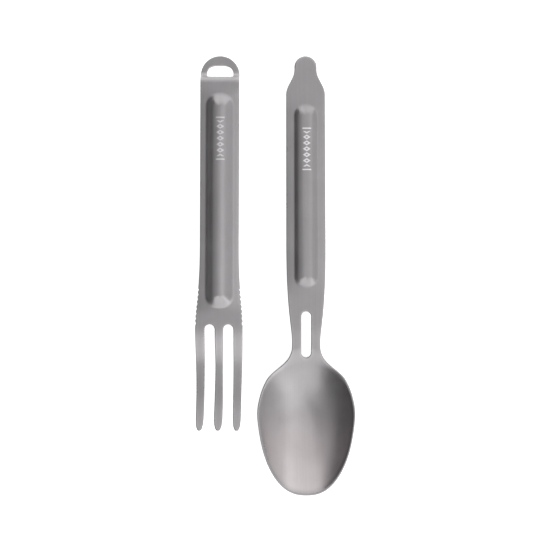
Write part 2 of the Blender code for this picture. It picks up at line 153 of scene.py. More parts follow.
# %% [markdown]
# ## The fork's outline
#
# The fork has a ring at the end of its handle, a head that widens with a row of fine teeth on both
# edges, and three tines with long rounded points. The teeth are scallops: a sine wave's humps cut
# into the edge. A Boolean with a row of small cylinders would do it too, but would leave slivers.

# %% Sizes of the fork
RING_BAR = 4.3  # from the end of the ring to its hole
HOLE = (11.79, 5.35)  # width and height
HOLE_CORNER = 0.9
HOLE_SQUARENESS = 2.8  # 2 would make its round side an ellipse
BEND = (7.0, 12.4)  # stations between which the ring is folded down
RING_DROP = 2.8
HEAD_WIDTH = 20.9
HEAD_TAPER = 35.0  # length over which the handle widens into the head
TEETH = 7
TOOTH_PITCH = 2.1
TOOTH_DEPTH = 0.42
TOOTH_POINTS = 10  # along each tooth
TEETH_TO_ROOT = 0.5  # from the last notch to the root of the tines
TINE_LENGTH = 45.7
OUTER_TINE = (4.15, 3.55)  # at the head and at the tip
MIDDLE_TINE = (3.76, 3.36)  # at both ends and at its waist
TINE_POINT = 6.2  # length of the rounded point
TINE_SQUARENESS = 2.5  # 2 would make the points elliptical
TINE_DIP = 2.8  # how far the tines sink, and how far their tips then rise above the handle
TINE_RISE = 5.0
DIP_FROM_ROOT = 19.0  # where they are lowest
FORK_RIB = dict(start=16.8, end=111.5, width=12.8, ramp=6.2, height=2.4, squareness=2.5)
FORK_LENGTH = HANDLE_LENGTH + TINE_LENGTH
TINE_OPENING = HEAD_WIDTH - 2 * OUTER_TINE[0]
ROOT_RADIUS = (TINE_OPENING - MIDDLE_TINE[0]) / 4
print("fork", round(FORK_LENGTH, 1), "mm long, gaps between its tines", round(2 * ROOT_RADIUS, 2), "mm wide")


# %% Draw the fork
def toothed(edge):
    """The edge of the head with its row of small round teeth."""
    end = HANDLE_LENGTH - TEETH_TO_ROOT
    start = end - TEETH * TOOTH_PITCH
    plain = edge[edge[:, 1] < start - EDGE_STEP]
    stations = even(start, end, TOOTH_PITCH / TOOTH_POINTS)
    wave = np.abs(np.sin(np.pi * (stations - start) / TOOTH_PITCH))
    widths = np.interp(stations, edge[:, 1], edge[:, 0]) - TOOTH_DEPTH * (1 - wave)
    return np.concatenate([plain, np.column_stack([widths, stations])])


def fork_outline():
    half, head = HANDLE_WIDTH / 2, HEAD_WIDTH / 2
    taper = HANDLE_LENGTH - HEAD_TAPER
    shoulder = FORK_LENGTH - TINE_POINT
    inner = TINE_OPENING / 2
    outer = inner + OUTER_TINE[1]
    root = HANDLE_LENGTH + ROOT_RADIUS
    middle = MIDDLE_TINE[0] / 2
    waist = (MIDDLE_TINE[1] / 2, HANDLE_LENGTH + DIP_FROM_ROOT)
    widening = side((half, taper), (head, HANDLE_LENGTH), leave=0.65, arrive=0.25)
    return loop_of(
        arc((0, half), (half, half), -90, 0),
        side((half, half), (half, taper)),
        toothed(widening),
        side((head, HANDLE_LENGTH + TEETH_TO_ROOT), (outer, shoulder)),
        arc(((inner + outer) / 2, shoulder), (OUTER_TINE[1] / 2, TINE_POINT), 0, 180, TINE_SQUARENESS),
        side((inner, shoulder), (inner, root)),
        arc((inner - ROOT_RADIUS, root), (ROOT_RADIUS, ROOT_RADIUS), 0, -180),
        side((middle, root), waist),
        side(waist, (middle, shoulder)),
        arc((0, shoulder), (middle, TINE_POINT), 0, 90, TINE_SQUARENESS),
    )


def ring_hole():
    """The D-shaped hole: a squarish arch over a straight edge."""
    half, corner = HOLE[0] / 2, HOLE_CORNER
    foot = RING_BAR + HOLE[1] - corner
    arch = arc((0, foot), (half, HOLE[1] - corner), -90, 0, HOLE_SQUARENESS)
    turn = arc((half - corner, foot), (corner, corner), 0, 90)
    across = even(half - corner, 0, EDGE_STEP)
    return loop_of(arch, turn, np.column_stack([across, np.full(len(across), foot + corner)]))


fork_loops = [fork_outline(), ring_hole()]
print("fork's outline:", len(fork_loops[0]), "points, hole:", len(fork_loops[1]))

# %% [markdown]
# ## The spoon's outline
#
# The spoon's handle ends in a narrow tongue. Its neck holds a long slot, and the bowl is an
# egg-shaped oval, fuller near the neck. The oval is drawn as a superellipse whose exponent changes
# along it, because a plain ellipse would look too pointed at the tip and too blunt at the neck.

# %% Sizes of the spoon
TONGUE = (9.75, 6.0)  # its width, and the station where it starts to spread
SHOULDER = 17.4  # where it has reached the width of the handle
SPOON_RIB = dict(start=21.6, end=102.5, width=10.4, ramp=5.4, height=1.5, squareness=3.5)
NECK_WIDTH = 12.28
NECK_TAPER = 34.9  # length over which the handle narrows, up to the fork's roots
NECK = (HANDLE_LENGTH + 7.6, HANDLE_LENGTH + 9.0)  # where it is narrowest
SLOT = (112.75, 132.55)  # stations of its ends
SLOT_WIDTH = 4.2
OVAL_TOP = 131.0  # station where the bowl's oval would close at the neck
BOWL_LENGTH = 60.3
BOWL_WIDTH = 41.6  # half way along
BOWL_EGG = 0.18  # how much the width grows from there to the neck, as a share
BOWL_DEPTH = 9.3
BOWL_LEAN = 0.3  # how much the depth grows towards the neck, as a share
BOWL_FALL = 1.4  # of the rim below the handle
BOWL_LIP = 0.5  # height over which the wall turns over at the rim
NECK_LIP = 3.0  # and where the neck runs down into the bowl
NECK_BLEND = 19.0  # length over which one turns into the other
BOWL_ROUNDNESS = 1.1
OVAL_AT_NECK, OVAL_AT_TIP = 1.83, 2.45  # exponents: 2 would make the oval an ellipse
OVAL_CHANGE = 12.0  # half the length over which one turns into the other
NECK_JOIN = 11.5  # from the top of the oval to where the neck's curve meets the rim
NECK_HOLD, RIM_HOLD = 0.55, 0.36  # how far that curve holds straight at each end, as shares
RIM_STEP, RIM_AHEAD = 1.1, 1.4  # degrees between points on the rim, and to measure its direction
BOWL_MIDDLE = OVAL_TOP + BOWL_LENGTH / 2
SPOON_LENGTH = OVAL_TOP + BOWL_LENGTH
print("spoon", round(SPOON_LENGTH, 1), "mm long, slot", round(SLOT[1] - SLOT[0], 1), "mm long")


# %% The bowl's oval
def oval_exponent(station):
    change = smooth(station, BOWL_MIDDLE - OVAL_CHANGE, BOWL_MIDDLE + OVAL_CHANGE)
    return OVAL_AT_NECK + (OVAL_AT_TIP - OVAL_AT_NECK) * change


def oval(x, station):
    """0 at the middle of the bowl, 1 on its rim and more outside it."""
    along = 2 * (BOWL_MIDDLE - station) / BOWL_LENGTH
    across = 2 * np.abs(x) / (BOWL_WIDTH * (1 + BOWL_EGG * along))
    exponent = oval_exponent(station)
    return np.abs(along) ** exponent + across**exponent


def rim(angle):
    """A point on the bowl's rim. Degrees: 0 is at the neck and 180 at the tip."""
    along = np.cos(np.radians(angle))
    station = BOWL_MIDDLE - along * BOWL_LENGTH / 2
    exponent = oval_exponent(station)
    across = np.maximum(1 - np.abs(along) ** exponent, 0) ** (1 / exponent)
    return np.stack([BOWL_WIDTH / 2 * (1 + BOWL_EGG * along) * across, station], -1)


print("bowl's outline is", round(2 * rim(np.arange(180))[:, 0].max(), 1), "mm wide")


# %% Draw the spoon
def neck_curve(joint):
    """The hollow curve from the neck out to the rim, which it meets along the rim's direction."""
    start = np.array([NECK_WIDTH / 2, NECK[1]])
    end, ahead = rim(joint), rim(joint + RIM_AHEAD)
    slope = (ahead[0] - end[0]) / (ahead[1] - end[1])
    run = end[1] - start[1]
    leave = start + (0, NECK_HOLD * run)
    arrive = end - np.array([slope, 1.0]) * RIM_HOLD * run
    return bezier(start, leave, arrive, end)


def spoon_outline():
    tip, half, neck = TONGUE[0] / 2, HANDLE_WIDTH / 2, NECK_WIDTH / 2
    taper = HANDLE_LENGTH - NECK_TAPER
    joint = math.degrees(math.acos(1 - 2 * NECK_JOIN / BOWL_LENGTH))
    return loop_of(
        arc((0, tip), (tip, tip), -90, 0),
        side((tip, tip), (tip, TONGUE[1])),
        side((tip, TONGUE[1]), (half, SHOULDER)),
        side((half, SHOULDER), (half, taper)),
        side((half, taper), (neck, NECK[0]), leave=0.7, arrive=0.16),
        side((neck, NECK[0]), (neck, NECK[1])),
        neck_curve(joint),
        rim(even(joint, 180, RIM_STEP)),
    )


def neck_slot():
    radius = SLOT_WIDTH / 2
    first = arc((0, SLOT[0] + radius), (radius, radius), -90, 0)
    last = arc((0, SLOT[1] - radius), (radius, radius), 0, 90)
    return loop_of(first, side(first[-1], last[0]), last)


spoon_loops = [spoon_outline(), neck_slot()]
print("spoon's outline:", len(spoon_loops[0]), "points, slot:", len(spoon_loops[1]))

# %% [markdown]
# ## How far the press moves the sheet
#
# A rib stiffens each handle. The ring is folded down below the handle, the tines dip and then
# curve up, and the bowl is a deep hollow with a narrow turned lip. Each of these is a height that
# is added to the others, so they run into each other as smoothly as pressed metal does.


# %% Heights shared by both pieces
def handle_height(x, station, start, end, width, ramp, height, squareness, arch_ramp):
    """A rib with round ends that slope evenly, on a handle whose edges fall away a little."""
    across = 2 * np.abs(x) / width
    along = np.maximum(np.maximum(start - station, station - end) + ramp, 0) / ramp
    outwards = across**RIB_END_SQUARENESS + along**RIB_END_SQUARENESS
    share = np.minimum(outwards ** (1 / RIB_END_SQUARENESS), 1)
    endwards = along**RIB_END_SQUARENESS / np.maximum(outwards, SLOPE_STEP**2)
    top = squareness + (RIB_END_SLOPE - squareness) * endwards
    foot = RIB_FOOT + (RIB_END_SLOPE - RIB_FOOT) * endwards
    bulge = height * (1 - share**top) ** foot
    full = smooth(station, start - arch_ramp, start + arch_ramp)
    full = full * (1 - smooth(station, end - arch_ramp, end + arch_ramp))
    return bulge - HANDLE_FALL * full * (2 * x / HANDLE_WIDTH) ** 2


# %% The two height functions
def fork_height(x, station):
    lowest = HANDLE_LENGTH + DIP_FROM_ROOT
    dip = -TINE_DIP * smooth(station, HANDLE_LENGTH, lowest)
    share = np.maximum(station - lowest, 0) / (FORK_LENGTH - lowest)
    tines = dip + (TINE_DIP + TINE_RISE) * share**2
    ring = -RING_DROP * (1 - fold(station, *BEND))
    return handle_height(x, station, **FORK_RIB, arch_ramp=FORK_RIB["ramp"] / 2) + ring + tines


def spoon_height(x, station):
    depth = BOWL_DEPTH * (1 + BOWL_LEAN * 2 * (BOWL_MIDDLE - station) / BOWL_LENGTH)
    wall = -depth * (1 - oval(x, station) ** BOWL_ROUNDNESS)
    lip = NECK_LIP + (BOWL_LIP - NECK_LIP) * smooth(station, OVAL_TOP, OVAL_TOP + NECK_BLEND)
    fall = -BOWL_FALL * smooth(station, HANDLE_LENGTH, OVAL_TOP)
    handle = handle_height(x, station, **SPOON_RIB, arch_ramp=SPOON_RIB["ramp"])
    return handle + fall + soft_min(0.0, wall, lip)


print("fork's rib stands", float(fork_height(0.0, 60.0)), "mm above the sheet's middle")
print("bowl's floor is at", round(float(spoon_height(0.0, BOWL_MIDDLE)), 2), "mm")

# %% [markdown]
# ## From flat to pressed
#
# A constrained triangulation fills the flat outline with an even grid of points. Each point is then
# raised to both faces of the sheet, along the sheet's own normal. The edge of a tumbled blank is
# round, so instead of a Bevel modifier, which would have to guess at thin places such as the
# teeth, rings of points follow a small oval from one face round to the other. The exact normals of
# the formula are kept on the mesh, so that highlights run over ribs and bowl without ripples.


# %% Geometry of the flat sheet
def inside(points, loop):
    """Whether each point is inside a closed loop."""
    found = np.zeros(len(points), bool)
    for (x0, s0), (x1, s1) in zip(loop, np.roll(loop, -1, axis=0)):
        if s0 == s1:
            continue
        crosses = (s0 > points[:, 1]) != (s1 > points[:, 1])
        found ^= crosses & (points[:, 0] < x0 + (points[:, 1] - s0) * (x1 - x0) / (s1 - s0))
    return found


def edge_distance(points, loops):
    """Distance from each point to the nearest edge of any loop."""
    nearest = np.full(len(points), np.inf)
    for loop in loops:
        for start, run in zip(loop, np.roll(loop, -1, axis=0) - loop):
            share = ((points - start) @ run / (run @ run)).clip(0, 1)
            gap = points - start - share[:, None] * run
            nearest = np.minimum(nearest, np.einsum("ij,ij->i", gap, gap))
    return np.sqrt(nearest)


def signed_area(loop):
    """Area inside a loop, negative where it runs clockwise."""
    x, station = loop.T
    return np.sum(x * np.roll(station, -1) - np.roll(x, -1) * station) / 2


def into_metal(loop, hole):
    """Unit vectors from a loop's points into the metal."""
    run = np.roll(loop, -1, axis=0) - np.roll(loop, 1, axis=0)
    normal = np.column_stack([-run[:, 1], run[:, 0]])
    normal /= np.linalg.norm(normal, axis=1)[:, None]
    return -normal if (signed_area(loop) < 0) != hole else normal


def surface(height, flat):
    """The middle of the sheet and its unit normals at flat points."""
    x, station = flat.T
    across = height(x + SLOPE_STEP, station) - height(x - SLOPE_STEP, station)
    along = height(x, station + SLOPE_STEP) - height(x, station - SLOPE_STEP)
    normals = np.column_stack([-across, -along, np.full(len(x), 2 * SLOPE_STEP)])
    normals /= np.linalg.norm(normals, axis=1)[:, None]
    return np.column_stack([x, station, height(x, station)]), normals


for label, (outline, hole) in (("fork", fork_loops), ("spoon", spoon_loops)):
    blank = abs(signed_area(outline)) - abs(signed_area(hole))
    print(label, "is cut from", round(blank), "square mm of sheet")


# %% The round edge
TURNS = np.radians([0, 18, 36, 54, 72, 90])  # from a face to half way round the edge
print("rings of points round each edge:", 2 * len(TURNS))


def edge_rings(loop, hole, height, run):
    """Rings of points and normals from the top face round the edge to the bottom face."""
    metal = into_metal(loop, hole)
    out = np.column_stack([-metal, np.zeros(len(loop))])
    rings = []
    for face, turns in ((1, TURNS), (-1, TURNS[::-1])):
        for turn in turns:
            inset = run * (1 - math.sin(turn))
            middle, normal = surface(height, loop + metal * inset[:, None])
            level = SHEET / 2 - EDGE_DROP * (1 - math.cos(turn))
            slant = out - np.einsum("ij,ij->i", out, normal)[:, None] * normal
            lean = slant * (math.sin(turn) / run)[:, None] + face * normal * math.cos(turn) / EDGE_DROP
            lean /= np.linalg.norm(lean, axis=1)[:, None]
            rings.append((middle + face * level * normal, lean))
    return rings, loop + metal * run[:, None]


# %% Fill the flat faces
ROW_SHARE = 0.87  # rows are this much closer than columns, so that triangles are even
EDGE_SHARE = 0.45  # least distance from an edge, as a share of the grid
MERGE = 1e-6  # points closer than this would fall together


def grid_points(loops):
    """An even triangular grid over the metal, clear of its edges."""
    low, high = loops[0].min(axis=0), loops[0].max(axis=0)
    rows = even(low[1], high[1], GRAIN_OF_MESH * ROW_SHARE)
    half = np.arange(0, high[0], GRAIN_OF_MESH)
    columns = np.concatenate([-half[:0:-1], half])
    points = []
    for index, station in enumerate(rows):
        shift = GRAIN_OF_MESH / 2 * (index % 2)
        points.append(np.column_stack([columns + shift, np.full(len(columns), station)]))
    points = np.concatenate(points)
    metal = inside(points, loops[0])
    for hole in loops[1:]:
        metal &= ~inside(points, hole)
    points = points[metal]
    return points[edge_distance(points, loops) > GRAIN_OF_MESH * EDGE_SHARE]


def flat_faces(loops, inner):
    """Triangles of the flat face, leaving out the holes."""
    rims, first = [], 0
    for loop in loops:
        count = len(loop)
        rims += [(first + index, first + (index + 1) % count) for index in range(count)]
        first += count
    points = np.concatenate(loops + [inner])
    found = delaunay_2d_cdt([Vector(point) for point in points], rims, [], 1, MERGE)
    faces = [face for face in found[2] if len(face) == 3]
    middles = points[np.array(faces)].mean(axis=1)
    solid = np.ones(len(faces), bool)
    for hole in loops[1:]:
        solid &= ~inside(middles, hole)
    assert len(found[0]) == len(points), "two points of the sheet fell together"
    return points, [face for face, keep in zip(faces, solid) if keep]


print("grid of", GRAIN_OF_MESH, "mm on the faces,", EDGE_STEP, "mm along the edges")


# %% Press a piece
RUB_REACH = 0.5  # how far rubbing reaches in from an edge


def press(name, loops, height, length, run_of, rest, highlight_share_of):
    """Makes one piece of sheet with round edges, where it rests."""
    edges, inset_loops = [], []
    for number, loop in enumerate(loops):
        rings, inner_loop = edge_rings(loop, number > 0, height, run_of(loop[:, 1]))
        edges.append(rings)
        inset_loops.append(inner_loop)
    inner = grid_points(inset_loops)
    flat, faces = flat_faces(inset_loops, inner)
    middle, normal = surface(height, flat)
    rubbed = np.exp(-edge_distance(flat, inset_loops) / RUB_REACH)
    places = [middle + normal * SHEET / 2, middle - normal * SHEET / 2]
    leans = [normal, -normal]
    wear = [rubbed, rubbed]
    # share of painted highlight at each point, kept as the hollow mask; none below or on the edges
    hollow = [highlight_share_of(flat), np.zeros(len(flat))]
    count = len(flat)
    polygons = faces + [[count + corner for corner in face[::-1]] for face in faces]
    total, start = 2 * count, 0
    for loop, rings in zip(loops, edges):
        size = len(loop)
        names = [np.arange(start, start + size)]
        for place, lean in rings[1:-1]:
            names.append(np.arange(total, total + size))
            places.append(place)
            leans.append(lean)
            wear.append(np.ones(size))
            hollow.append(np.zeros(size))
            total += size
        names.append(np.arange(start, start + size) + count)
        for above, below in zip(names, names[1:]):
            quads = [above, np.roll(above, -1), np.roll(below, -1), below]
            polygons += np.column_stack(quads).tolist()
        start += size
    # wear marks the rubbed edges; hollow is where the bowl's painted highlight goes
    masks = {"wear": np.concatenate(wear), "hollow": np.concatenate(hollow)}
    return finish_mesh(
        name, np.concatenate(places), np.concatenate(leans), polygons, length, rest, masks
    )


def finish_mesh(name, places, leans, polygons, length, rest, masks):
    """Lays the points where the piece rests, in metres, and keeps the exact normals and the masks."""
    turn, shift = rest
    places = (places * HANDLE_UP + (0, length / 2, 0)) @ turn.T + shift
    leans = (leans * HANDLE_UP) @ turn.T
    mesh = bpy.data.meshes.new(name)
    mesh.from_pydata((places * MM).tolist(), [], polygons)
    shape = bmesh.new()
    shape.from_mesh(mesh)
    bmesh.ops.recalc_face_normals(shape, faces=shape.faces)
    volume = shape.calc_volume() / MM**3
    shape.to_mesh(mesh)
    shape.free()
    for label, values in masks.items():
        mesh.attributes.new(label, "FLOAT", "POINT").data.foreach_set("value", values)
    mesh.shade_smooth()
    mesh.normals_split_custom_set_from_vertices(leans.tolist())
    piece = bpy.data.objects.new(name, mesh)
    bpy.context.scene.collection.objects.link(piece)
    print(name, len(polygons), "faces,", round(volume), "cubic mm of metal")
    return piece


# %% [markdown]
# ## Lay the pieces where the frame has them
#
# The spoon rests on the end of its tongue and on its bowl, so it leans by four degrees. The fork
# rests on its ring and its tines, level, and lies a little out of line. The place of each comes
# from the frame: its box is matched with the box of the sheet's square corners, turned the same way.


# %% Where each piece rests
HANDLE_UP = (1, -1, 1)  # a station grows towards the tip, and the handle's end is at +Y
FORK_TURN = (0, 0, -0.22)  # degrees about X, Y and Z
SPOON_TURN = (-4.036, 0, 0)


def resting_place(node, loop, height, length, turn):
    """The turn and the shift that bring a piece's square corners into the box of its node."""
    middle, normal = surface(height, loop)
    corners = np.concatenate([middle + normal * SHEET / 2, middle - normal * SHEET / 2])
    spin = np.array(Euler([math.radians(angle) for angle in turn]).to_matrix())
    corners = (corners * HANDLE_UP + (0, length / 2, 0)) @ spin.T
    low, high = (np.array(corner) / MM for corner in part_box(node))
    shift = (low + high - corners.min(axis=0) - corners.max(axis=0)) / 2
    print(node, "rests at", shift.round(2), "mm")
    return spin, shift


fork_rest = resting_place("fork", fork_loops[0], fork_height, FORK_LENGTH, FORK_TURN)
spoon_rest = resting_place("spoon", spoon_loops[0], spoon_height, SPOON_LENGTH, SPOON_TURN)


# %% Press both pieces
TONGUE_ROUND = 0.5  # how much wider the tongue's edge is rounded, over the first stations
TONGUE_ROUND_END = (2.0, 7.0)
RIM_ROUND = 0.4  # and the bowl's rim, from these on
RIM_ROUND_START = (138, 148)
# The bowl's painted highlight: a brighter, warmer colour towards its tip
HIGHLIGHT_WALL = 0.80  # share of the oval inside which the bowl gets its painted highlight
HIGHLIGHT_HALF = 14  # half the length over which that grows towards the tip


def fork_edge_run(station):
    return np.full(len(station), EDGE_ROUND)


def spoon_edge_run(station):
    """The tongue's edge and the bowl's rim are rubbed rounder, for the ring and for the mouth."""
    tongue = TONGUE_ROUND * (1 - smooth(station, *TONGUE_ROUND_END))
    return EDGE_ROUND + tongue + RIM_ROUND * smooth(station, *RIM_ROUND_START)


def no_highlight_share(flat):
    return np.zeros(len(flat))


def bowl_highlight_share(flat):
    """Share of painted highlight: how far a point is down in the bowl, more towards its tip."""
    x, station = flat.T
    depth = 1 - smooth(oval(x, station), HIGHLIGHT_WALL, 1.0)
    return depth * smooth(station, BOWL_MIDDLE - HIGHLIGHT_HALF, BOWL_MIDDLE + HIGHLIGHT_HALF)


fork = press(
    "pressed_fork", fork_loops, fork_height, FORK_LENGTH, fork_edge_run, fork_rest, no_highlight_share
)
spoon = press(
    "pressed_spoon", spoon_loops, spoon_height, SPOON_LENGTH, spoon_edge_run, spoon_rest, bowl_highlight_share
)
for piece, node in ((fork, "fork"), (spoon, "spoon")):
    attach(piece, node)
    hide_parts(node)

# %% [markdown]
# ## The finish: what bead-blasted titanium looks like
#
# Titanium is darker than steel and very slightly violet. Glass beads fired at it leave a fine even
# grain that blurs reflections. Faint lines from rolling the sheet run along each piece, the edges
# are rubbed a little smoother and brighter, and handling leaves soft smudges and a few thin
# scratches. Both pieces have the same effects in different amounts, so each effect is a node group
# with named inputs, built once. A group puts out masks and heights, and each material has its own
# shader that uses them.


# %% Helpers for node groups
class Board:
    """A node tree with short ways to add nodes and to wire them."""

    def __init__(self, tree):
        self.tree = tree

    def add(self, kind, wires=(), **settings):
        """Adds a node. wires maps an input's name or number to a value or to another socket."""
        node = self.tree.nodes.new(kind)
        for key, value in settings.items():
            setattr(node, key, value)
        for key, value in dict(wires).items():
            if isinstance(value, bpy.types.NodeSocket):
                self.tree.links.new(value, node.inputs[key])
            else:
                node.inputs[key].default_value = value
        return node

    def sum(self, operation, *values):
        """A Math node's output."""
        return self.add("ShaderNodeMath", dict(enumerate(values)), operation=operation).outputs[0]

    def remap(self, value, low, high, to_low=0.0, to_high=1.0):
        """A value moved smoothly from one range to another, and held inside it."""
        wires = {"Value": value, "From Min": low, "From Max": high, "To Min": to_low, "To Max": to_high}
        return self.add("ShaderNodeMapRange", wires, interpolation_type="SMOOTHSTEP").outputs[0]


def new_group(name, inputs, outputs):
    """A shader node group with float sockets, and one vector input if it is named Place."""
    tree = bpy.data.node_groups.new(name, "ShaderNodeTree")
    for label, value in inputs.items():
        kind = "NodeSocketVector" if label == "Place" else "NodeSocketFloat"
        socket = tree.interface.new_socket(label, in_out="INPUT", socket_type=kind)
        if value is not None:
            socket.default_value = value
    for label in outputs:
        tree.interface.new_socket(label, in_out="OUTPUT", socket_type="NodeSocketFloat")
    board = Board(tree)
    return board, board.add("NodeGroupInput").outputs, board.add("NodeGroupOutput")


def put_out(board, end, **results):
    """Wires a group's results to its output sockets."""
    for label, socket in results.items():
        board.tree.links.new(socket, end.inputs[label])


# %% Node group: blasted grain
def blasted_grain():
    """Fine pits, and the slow change in tone from one pass of the nozzle to the next."""
    inputs = {"Place": None, "Pit Size": 0.00016, "Patch Size": 0.009}
    board, given, end = new_group("Blasted grain", inputs, ["Height", "Tone"])
    fineness = board.sum("DIVIDE", 1.0, given["Pit Size"])
    pits = board.add(
        "ShaderNodeTexNoise",
        {"Vector": given["Place"], "Scale": fineness, "Detail": 3.0, "Roughness": 0.65},
    ).outputs[0]
    cell = board.add("ShaderNodeTexVoronoi", {"Vector": given["Place"], "Scale": fineness}).outputs[0]
    patch_scale = board.sum("DIVIDE", 1.0, given["Patch Size"])
    patches = board.add(
        "ShaderNodeTexNoise",
        {"Vector": given["Place"], "Scale": patch_scale, "Detail": 4.0, "Roughness": 0.55},
    ).outputs[0]
    height = board.sum("ADD", board.sum("MULTIPLY", pits, 0.7), board.sum("MULTIPLY", cell, 0.3))
    fine_tone = board.sum("MULTIPLY", board.sum("SUBTRACT", pits, 0.5), 0.5)
    tone = board.sum("ADD", board.sum("SUBTRACT", patches, 0.5), fine_tone)
    put_out(board, end, Height=height, Tone=tone)
    return board.tree


# %% Node group: rolling lines
def rolling_lines():
    """Faint lines along the piece, left by the rollers that made the sheet."""
    inputs = {"Place": None, "Line Width": 0.0006, "Line Length": 0.05}
    board, given, end = new_group("Rolling lines", inputs, ["Lines"])
    across = board.sum("DIVIDE", 1.0, given["Line Width"])
    along = board.sum("DIVIDE", 1.0, given["Line Length"])
    stretch = board.add("ShaderNodeCombineXYZ", {"X": across, "Y": along, "Z": along}).outputs[0]
    place = board.add(
        "ShaderNodeVectorMath", {0: given["Place"], 1: stretch}, operation="MULTIPLY"
    ).outputs[0]
    lines = board.add(
        "ShaderNodeTexNoise", {"Vector": place, "Scale": 1.0, "Detail": 3.0, "Roughness": 0.6}
    ).outputs[0]
    put_out(board, end, Lines=board.sum("SUBTRACT", lines, 0.5))
    return board.tree


# %% Node group: rubbed edges
def rubbed_edges():
    """A mask of the edges, broken up so that the rubbing isn't even."""
    inputs = {"Place": None, "Breakup": 0.5}
    board, given, end = new_group("Rubbed edges", inputs, ["Mask"])
    wear = board.add("ShaderNodeAttribute", attribute_name="wear").outputs["Fac"]
    noise = board.add(
        "ShaderNodeTexNoise", {"Vector": given["Place"], "Scale": 900.0, "Detail": 3.0}
    ).outputs[0]
    broken = board.sum("SUBTRACT", 1.0, board.sum("MULTIPLY", noise, given["Breakup"]))
    put_out(board, end, Mask=board.sum("MULTIPLY", board.remap(wear, 0.1, 1.0), broken))
    return board.tree


# %% Node group: signs of handling
def handling():
    """Soft smudges, and thin scratches that cross the rolling lines at all angles."""
    inputs = {"Place": None, "Scratches": 1.0}
    board, given, end = new_group("Signs of handling", inputs, ["Smudge", "Scratch"])
    smudge = board.add(
        "ShaderNodeTexNoise",
        {"Vector": given["Place"], "Scale": 70.0, "Detail": 5.0, "Distortion": 0.8},
    ).outputs[0]
    found = None
    for angle, offset in ((0.35, 0.0), (-0.6, 3.1), (1.2, 7.7)):
        turned = board.add(
            "ShaderNodeMapping",
            {"Vector": given["Place"], "Location": (offset, 0, 0), "Rotation": (0, 0, angle)},
        ).outputs[0]
        long_way = board.add(
            "ShaderNodeVectorMath", {0: turned, 1: (2600.0, 70.0, 70.0)}, operation="MULTIPLY"
        ).outputs[0]
        line = board.add("ShaderNodeTexNoise", {"Vector": long_way, "Scale": 1.0}).outputs[0]
        line = board.remap(line, 0.71, 0.78)
        found = line if found is None else board.sum("MAXIMUM", found, line)
    put_out(
        board,
        end,
        Smudge=board.sum("SUBTRACT", smudge, 0.5),
        Scratch=board.sum("MULTIPLY", found, given["Scratches"]),
    )
    return board.tree


# %% [markdown]
# ## A generic etched mark
#
# Each rib carries a pale mark burnt on by a laser. Here it is a plain row of lozenges between two
# short bars, which stands for no maker. It is drawn with arithmetic on the piece's own coordinates:
# a lozenge is where the distances along and across add up to less than its size.


# %% Node group: etched mark
def etched_mark():
    """A row of lozenges along the rib, centred at Across and Along, on the upper face only."""
    inputs = {
        "Place": None,
        "Across": 0.0,
        "Along": 0.0,
        "Length": 0.0182,
        "Width": 0.0040,
        "Pitch": 0.0026,
    }
    board, given, end = new_group("Etched mark", inputs, ["Mask"])
    axes = board.add("ShaderNodeSeparateXYZ", {0: given["Place"]}).outputs
    across = board.sum("ABSOLUTE", board.sum("SUBTRACT", axes["X"], given["Across"]))
    along = board.sum("SUBTRACT", axes["Y"], given["Along"])
    cell = board.sum("PINGPONG", along, board.sum("DIVIDE", given["Pitch"], 2.0))
    share = board.sum("DIVIDE", cell, board.sum("DIVIDE", given["Pitch"], 2.0))
    width = board.sum("DIVIDE", across, board.sum("DIVIDE", given["Width"], 2.0))
    reach = board.sum("ADD", share, width)
    lozenge = board.remap(reach, 0.78, 0.92, 1.0, 0.0)
    core = board.remap(reach, 0.26, 0.40, 0.0, 1.0)
    from_middle = board.sum("ABSOLUTE", along)
    half = board.sum("DIVIDE", given["Length"], 2.0)
    row_end = board.sum("SUBTRACT", half, board.sum("MULTIPLY", given["Pitch"], 0.5))
    in_row = board.sum("LESS_THAN", from_middle, row_end)
    row = board.sum("MULTIPLY", board.sum("MULTIPLY", lozenge, core), in_row)
    to_bar = board.sum("ABSOLUTE", board.sum("SUBTRACT", from_middle, half))
    bar = board.remap(to_bar, 0.00022, 0.00034, 1.0, 0.0)
    bar = board.sum("MULTIPLY", bar, board.remap(width, 0.9, 1.0, 1.0, 0.0))
    facing = board.add("ShaderNodeTexCoord").outputs["Normal"]
    upward = board.add("ShaderNodeSeparateXYZ", {0: facing}).outputs["Z"]
    above = board.sum("GREATER_THAN", upward, 0.0)
    put_out(board, end, Mask=board.sum("MULTIPLY", board.sum("MAXIMUM", row, bar), above))
    return board.tree


GROUPS = [blasted_grain(), rolling_lines(), rubbed_edges(), handling(), etched_mark()]
GRAIN, LINES, EDGES, HANDLING, MARK = GROUPS
print("node groups:", [group.name for group in GROUPS])

# %% [markdown]
# ## The material
#
# The metal's own colour goes to Base Color at full Metallic. Tone, lines, rubbing and the mark
# change it by a few hundredths. Where an edge is rubbed it is also smoother, and where the laser
# has burnt the metal it is rougher and paler. Towards the bowl's tip a mask kept on the mesh brings
# in a brighter, warmer colour: a painted highlight on the rising floor of the bowl. The pits go in
# as a bump, far too small to model.


# %% Titanium
# Painted highlight: the brighter, warmer colour mixed into the bowl towards its tip
BOWL_HIGHLIGHT_COLOUR = (0.474, 0.438, 0.443)
BURNT = (0.68, 0.67, 0.68, 1.0)
# How far each effect moves the tone, as a share of the colour
GRAIN_TONE, EDGE_TONE, SMUDGE_TONE, SCRATCH_TONE = 0.16, 0.10, 0.07, 0.10
# and how far it moves the roughness
SMUDGE_ROUGH, GRAIN_ROUGH, EDGE_ROUGH, MARK_ROUGH = 0.10, 0.05, -0.10, 0.16
# and the height, against the pits
LINE_HEIGHT, MARK_HEIGHT = 0.5, -0.6


